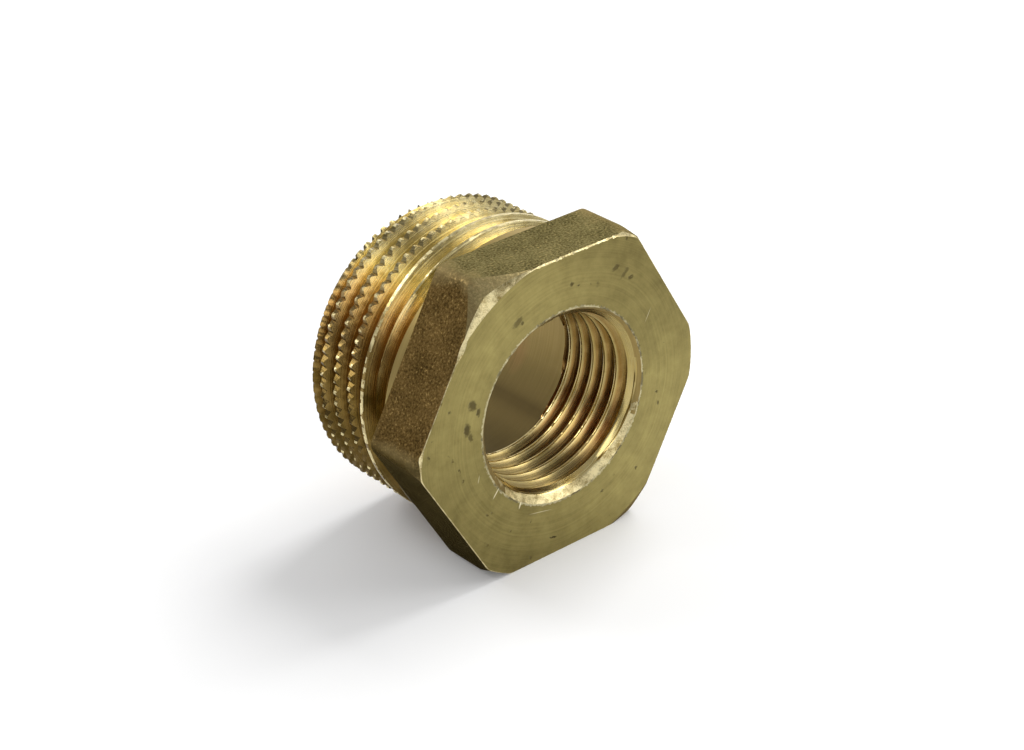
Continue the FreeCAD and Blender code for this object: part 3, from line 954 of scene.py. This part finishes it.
def bore_section(angle):
    """Points from the end face into the bore: radius, place along."""
    return [
        (END_FACE_RADIUS, THREAD_END),
        (REAR_BORE_RADIUS + BORE_CHAMFER, THREAD_END),
        (REAR_BORE_RADIUS, THREAD_END - BORE_CHAMFER),
        (REAR_BORE_RADIUS, (THREAD_END + BORE_SHOULDER) / 2),
        (REAR_BORE_RADIUS, BORE_SHOULDER),
    ]


rear_bore = turned_sheet("rear_bore", bore_section, [SCRAPED, SCRAPED, BORED, BORED])


def bored_brass():
    """Brass rough-bored and left matt.

    Faint lines run round the bore, and a copper-coloured streak has come out low on one side.
    """
    material, add = new_material("bored brass")
    place = add("ShaderNodeTexCoord", output="Object")
    # Boring lines 0.15 mm apart, which fade in and out over 5 mm
    stretched = add("ShaderNodeMapping", {
        "Vector": place,
        "Scale": (1 / (5 * MM), 1 / (0.15 * MM), 1 / (5 * MM)),
    })
    lines = add(NOISE, {"Vector": stretched, "Scale": 1.0, "Detail": 4.0})
    colour = add("ShaderNodeMix", {
        "Factor": lines,
        "A": linear("#857242"),
        "B": linear("#B29C64"),
    }, output="Result", data_type="RGBA")
    split = add("ShaderNodeSeparateXYZ", [place]).node.outputs
    # Painted shade on the low side of the bore, the most 9 mm below the axis, and less at the very
    # bottom
    low = add(RANGE, {"Value": split["Z"], "From Min": -5 * MM, "From Max": -9 * MM, "To Max": 0.88})
    lowest = add(RANGE, {
        "Value": split["Z"],
        "From Min": -9.5 * MM,
        "From Max": -12 * MM,
        "To Min": 1.0,
        "To Max": 0.65,
    })
    bore_shade = add(MATH, [low, lowest], operation="MULTIPLY")
    near = add("ShaderNodeMapping", {
        "Vector": place,
        "Location": COPPER_PLACE,
        "Scale": COPPER_REACH,
    }, vector_type="TEXTURE")
    near = add("ShaderNodeVectorMath", [near], output="Value", operation="LENGTH")
    copper = add(RANGE, {"Value": near, "From Max": 1.2, "To Min": 0.7, "To Max": 0.0})
    copper = add(MATH, [copper, lines], operation="MULTIPLY")
    for share, tint in ((bore_shade, "#2E2412"), (copper, "#B4865C")):
        colour = add("ShaderNodeMix", {
            "Factor": share,
            "A": colour,
            "B": linear(tint),
        }, output="Result", data_type="RGBA")
    bump = add("ShaderNodeBump", {"Strength": 0.5, "Distance": 0.012 * MM, "Height": lines})
    rough = add(RANGE, {"Value": lines, "To Min": 0.42, "To Max": 0.6})
    surface = add("ShaderNodeBsdfPrincipled", {
        "Base Color": colour,
        "Metallic": 1.0,
        "Roughness": rough,
        "Normal": bump,
    })
    add("ShaderNodeOutputMaterial", {"Surface": surface})
    return material


# Inside thread, G 1/2
# The tapped bore of the brass hexagon: right-hand ridges left in a bore of tapping size, with a
# chamfered mouth and a smooth band in front of them. It ends at the wider plain bore.

# Depth of the mouth's chamfer, which was cut a little askew, and the side where it is deepest
CHAMFER_DEPTH = 0.519 * MM
CHAMFER_SKEW = 0.2295 * MM
CHAMFER_SIDE = math.radians(210)
# Undercut behind the chamfer on the right-hand side
CREVICE_SIDE = math.radians(118)
CREVICE_SPREAD = math.radians(34)
CREVICE_WIDTH = 0.5 * MM
CREVICE_DEPTH = 0.35 * MM
# Its deepest line, as a share of its width behind the chamfer, and how it fades to its ends
CREVICE_MIDDLE = 0.6
CREVICE_FADE = 0.5
# The band narrows by less than this for each unit along the axis
STEEPEST_BAND = 0.95
# Where a turn closes, as a share of a turn
CLOSING = FIRST_COLUMN / (2 * math.pi)


def mouth_limit(add, given, full_turns, along):
    """Skewed chamfer, the band that narrows from it to the ridges, and the undercut."""
    angle = add(MATH, [full_turns, 2 * math.pi], operation="MULTIPLY")
    depth = add(MATH, [angle, CHAMFER_SIDE], operation="SUBTRACT")
    depth = add(MATH, [depth], operation="COSINE")
    depth = add(MATH, [depth, given["Chamfer Skew"], given["Chamfer Depth"]],
                operation="MULTIPLY_ADD")
    chamfer = add(MATH, [given["Mouth Radius"], along], operation="SUBTRACT")
    # The band ends later and later as the first groove runs into it
    band_end = add(MATH, [full_turns, given["Band Lead"], given["Band Start"]],
                   operation="MULTIPLY_ADD")
    band_end = add(MATH, [band_end, given["Band End"]], operation="MINIMUM")
    # It comes back to its start over the last few degrees, so that the turn closes
    band_back = add(MATH, [1 + CLOSING, full_turns], operation="SUBTRACT")
    band_back = add(MATH, [band_back, given["Band Return"], given["Band Start"]],
                    operation="MULTIPLY_ADD")
    band_back = add(MATH, [CLOSING, given["Band Lead"], band_back], operation="MULTIPLY_ADD")
    band_end = add(MATH, [band_end, band_back], operation="MINIMUM")
    edge = add(MATH, [given["Mouth Radius"], depth], operation="SUBTRACT")
    fall = add(MATH, [edge, given["Band Radius"]], operation="SUBTRACT")
    span = add(MATH, [band_end, depth], operation="SUBTRACT")
    fall = add(MATH, [fall, span], operation="DIVIDE")
    fall = add(MATH, [fall, STEEPEST_BAND], operation="MINIMUM")
    past = add(MATH, [along, depth], operation="SUBTRACT")
    band = add(MATH, [past, fall], operation="MULTIPLY")
    band = add(MATH, [edge, band], operation="SUBTRACT")
    # The undercut fades towards its two ends
    beside = add(MATH, [angle, CREVICE_SIDE], operation="SUBTRACT")
    beside = add(MATH, [add(MATH, [beside], operation="ABSOLUTE"), CREVICE_SPREAD],
                 operation="DIVIDE")
    open_share = add(MATH, [1.0, beside], operation="SUBTRACT")
    open_share = add(MATH, [open_share, 0.0], operation="MAXIMUM")
    open_share = add(MATH, [open_share, CREVICE_FADE], operation="POWER")
    centre = add(MATH, [past, given["Crevice Width"]], operation="DIVIDE")
    centre = add(MATH, [centre, CREVICE_MIDDLE], operation="SUBTRACT")
    centre = add(MATH, [centre], operation="ABSOLUTE")
    centre = add(MATH, [centre, -2.0, 1.0], operation="MULTIPLY_ADD")
    centre = add(MATH, [centre, 0.0], operation="MAXIMUM")
    crevice = add(MATH, [open_share, centre], operation="MULTIPLY")
    band = add(MATH, [crevice, given["Crevice Depth"], band], operation="MULTIPLY_ADD")
    return add(MATH, [chamfer, band], operation="MAXIMUM")


# Rounded root and crest with straight flanks of 27.5 degrees between them
INSIDE_SECTION = (
    (0.0, 1.0),
    (1 / 6, 0.956),
    (2 / 6, 0.75),
    (3 / 6, 0.5),
    (4 / 6, 0.25),
    (5 / 6, 0.044),
    (1.0, 0.0),
)
INSIDE_PLACES = ((0.0, 0.0), (1.0, 1.0))
inside_sizes = {
    "Crest Radius": 9.5 * MM,
    "Root Radius": 10.4775 * MM,
    "Pitch": 1.814 * MM,
    "First Crest": 2.16 * MM,
    "Runout": 1.25 * MM,
    "Ring Groove": 0.0,
    "Start": 0.0,
    "End": BORE_SHOULDER,
    "Start Flange": MOUTH_RADIUS,
    "End Flange": REAR_BORE_RADIUS,
    "Rows per Turn": 12.0,
    "Tear": -0.03 * MM,
    "Mouth Radius": MOUTH_RADIUS,
    "Chamfer Depth": CHAMFER_DEPTH,
    "Chamfer Skew": CHAMFER_SKEW,
    "Band Radius": 9.6 * MM,
    "Band Start": 0.85 * MM,
    "Band Lead": 2.16 * MM,
    "Band End": 1.9 * MM,
    "Band Return": 15.0 * MM,
    "Crevice Width": CREVICE_WIDTH,
    "Crevice Depth": CREVICE_DEPTH,
}
# Painted shade for the inside thread, with the same columns as the outside thread's: browner grooves on
# the right and lower left, and the upper right darker all over
INSIDE_SHADE = (
    ((1.0, 0.0, 0.15), 0.0, 6.0, 0.9, 0.0, "#7E481C"),
    ((0.92, 0.0, 0.4), 4.0, 9.5, 0.0, 0.6, "#73632C"),
    ((-0.5, 0.0, -0.87), 1.0, 6.0, 0.6, 0.0, "#6A4E1E"),
)
inside_brass = thread_brass("tapped brass", inside_sizes, ("#CDB570", "#E2D096"), (0.02, 0.32),
                            INSIDE_SHADE, 0.05, 0.18)
inside_tree = thread_tree("inside thread", inside_sizes, INSIDE_SECTION, INSIDE_PLACES,
                          mouth_limit, "MAXIMUM")
inside_thread = grown("inside_thread", inside_tree, inside_sizes, inside_brass)

# The sides between which the chamfer is scraped, and how ragged that part's ends are
SCRAPED_FROM = math.radians(112)
SCRAPED_TO = math.radians(235)
SCRAPED_GRAIN = 0.8 * MM
SCRAPED_RAGGEDNESS = 0.3
for face in inside_thread.polygons:
    face.material_index = TAPPED
    angle = math.atan2(face.center.x, face.center.z) % (2 * math.pi)
    chamfer_end = CHAMFER_DEPTH + CHAMFER_SKEW * math.cos(angle - CHAMFER_SIDE)
    if face.center.y < chamfer_end:
        ragged = SCRAPED_RAGGEDNESS * noise.noise(face.center / SCRAPED_GRAIN)
        scraped = SCRAPED_FROM < angle + ragged < SCRAPED_TO
        face.material_index = SCRAPED if scraped else BORED


# The whole fitting
# Head, outside thread, bore and inside thread meet edge to edge and are one closed skin, as the
# real fitting is one piece of metal.

SHARP_ANGLE = math.radians(32)
RIM_RAGGEDNESS = 0.08 * MM
RIM_GRAIN = 0.6 * MM
JOIN_DISTANCE = 0.004 * MM

shell = bmesh.new()
for part in (head, outside_thread, rear_bore, inside_thread):
    shell.from_mesh(part)
bmesh.ops.remove_doubles(shell, verts=shell.verts, dist=JOIN_DISTANCE)
for point in shell.verts:
    # The mouth's edge on the face is slightly torn
    radius = math.hypot(point.co.x, point.co.z)
    if point.co.y < SMALLEST_STEP and abs(radius - MOUTH_RADIUS) < SMALLEST_STEP:
        tear = RIM_RAGGEDNESS * noise.noise(point.co / RIM_GRAIN) / radius
        point.co.x *= 1 + tear
        point.co.z *= 1 + tear
bmesh.ops.recalc_face_normals(shell, faces=shell.faces)
skin = bpy.data.meshes.new("nipple")
shell.to_mesh(skin)
shell.free()
for part in (head, outside_thread, rear_bore, inside_thread):
    bpy.data.meshes.remove(part)
finishes = (
    faced_brass(),
    forged_skin(),
    outside_brass,
    bored_brass(),
    scraped_brass(),
    inside_brass,
)
for material in finishes:
    skin.materials.append(material)
skin.shade_smooth()
skin.set_sharp_from_angle(angle=SHARP_ANGLE)
nipple = bpy.data.objects.new("nipple", skin)
bpy.context.scene.collection.objects.link(nipple)
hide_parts(NODE)
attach(nipple, "root")


# Floor and light
# White paper under soft lamps: a broad one to the right, which throws the shadow to the left, one
# behind and above, which draws the streaks on the threads, and two weak ones in front, which the
# chamfers, the face's rings and the inside ridges catch. The room is dimmer in front.

FLOOR_SIZE = 3.0
# The paper ends a little way in front, so the front of the fitting mirrors less white
FLOOR_FRONT = -0.2
FLOOR_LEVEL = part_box(NODE)[0].z
PAPER_LIFT = 0.1

floor_mesh = bpy.data.meshes.new("floor")
floor_mesh.from_pydata(
    [
        (-FLOOR_SIZE, FLOOR_FRONT, FLOOR_LEVEL),
        (FLOOR_SIZE, FLOOR_FRONT, FLOOR_LEVEL),
        (FLOOR_SIZE, FLOOR_SIZE, FLOOR_LEVEL),
        (-FLOOR_SIZE, FLOOR_SIZE, FLOOR_LEVEL),
    ],
    [],
    [(0, 1, 2, 3)],
)
floor = bpy.data.objects.new("floor", floor_mesh)
bpy.context.scene.collection.objects.link(floor)


def white_paper():
    """Matt white paper, which the camera sees a little lifted towards pure white."""
    material, add = new_material("white paper")
    paper = add("ShaderNodeBsdfDiffuse", {"Color": linear("#F7F7F7")})
    glow = add("ShaderNodeEmission", {"Color": linear("#FFFFFF"), "Strength": 1.0})
    rays = add("ShaderNodeLightPath").node.outputs
    seen = add(MATH, [rays["Is Camera Ray"], rays["Is Glossy Ray"]], operation="MAXIMUM")
    seen = add(MATH, [seen, rays["Is Transmission Ray"]], operation="MAXIMUM")
    share = add(MATH, [seen, PAPER_LIFT], operation="MULTIPLY")
    surface = add("ShaderNodeMixShader", [share, paper, glow])
    add("ShaderNodeOutputMaterial", {"Surface": surface})
    return material


floor_mesh.materials.append(white_paper())

DIM_ROOM = 0.17
# Light parts of the room: direction, the cosines from it where each starts and is full, and gain
ROOM_LIGHTS = (
    (Vector((0.2, 0.75, 0.63)), -0.2, 0.8, 0.33),
    (Vector((0.85, -0.42, 0.3)), 0.8, 0.95, 0.4),
    (Vector((0.75, 0.66, 0.12)), 0.85, 0.97, 0.9),
)

world = bpy.data.worlds.new("studio")
bpy.context.scene.world = world
world.use_nodes = True
world.node_tree.nodes.clear()
add = functools.partial(add_node, world.node_tree)
towards = add("ShaderNodeTexCoord", output="Generated")
strength = DIM_ROOM
for side, first, last, gain in ROOM_LIGHTS:
    near = add("ShaderNodeVectorMath", [towards, side.normalized()], output="Value",
               operation="DOT_PRODUCT")
    near = add(RANGE, {"Value": near, "From Min": first, "From Max": last, "To Max": gain})
    strength = add(MATH, [near, strength], operation="ADD")
room = add("ShaderNodeBackground", {"Color": linear("#FFFFFF"), "Strength": strength})
backdrop = add("ShaderNodeBackground", {"Color": linear("#FFFFFF"), "Strength": 1.0})
rays = add("ShaderNodeLightPath").node.outputs
sky = add("ShaderNodeMixShader", [rays["Is Camera Ray"], room, backdrop])
add("ShaderNodeOutputWorld", {"Surface": sky})


# Square soft lamps that face the fitting: name, place, width in metres and power in watts
LAMPS = (
    ("right lamp", (0.50, 0.06, 0.55), 0.45, 4.2),
    ("rear lamp", (-0.27, 0.53, 0.53), 0.3, 1.7),
    ("front lamp", (-0.22, -0.68, 0.38), 0.5, 1.5),
    ("side lamp", (0.45, -0.38, 0.45), 0.35, 0.95),
)

for name, place, width, power in LAMPS:
    light = bpy.data.lights.new(name, "AREA")
    light.size = width
    light.energy = power
    lamp = bpy.data.objects.new(name, light)
    lamp.location = place
    lamp.rotation_euler = Vector(place).to_track_quat("Z", "Y").to_euler()
    bpy.context.scene.collection.objects.link(lamp)


# Camera
# Set where a fit to the fitting's edges in the photograph puts it.

CAMERA_RIGHT = Vector((0.76220, -0.64664, -0.03018))
CAMERA_UP = Vector((0.32974, 0.34770, 0.87771))
CAMERA_BACK = Vector((-0.55707, -0.67894, 0.47824))
CAMERA_PLACE = Vector((-145.7, -169.3, 125.5)) * MM
SENSOR_WIDTH = 36.0
FOCAL_PIXELS = 2491.2
PHOTO_WIDTH = 1024
NEAREST = 0.01

view = bpy.data.cameras.new("camera")
view.sensor_width = SENSOR_WIDTH
view.lens = FOCAL_PIXELS / PHOTO_WIDTH * SENSOR_WIDTH
view.clip_start = NEAREST
camera = bpy.data.objects.new("camera", view)
turn = Matrix((CAMERA_RIGHT, CAMERA_UP, CAMERA_BACK)).transposed()
camera.matrix_world = Matrix.Translation(CAMERA_PLACE) @ turn.to_4x4()
bpy.context.scene.collection.objects.link(camera)
bpy.context.scene.camera = camera
bpy.context.scene.view_settings.view_transform = "Standard"
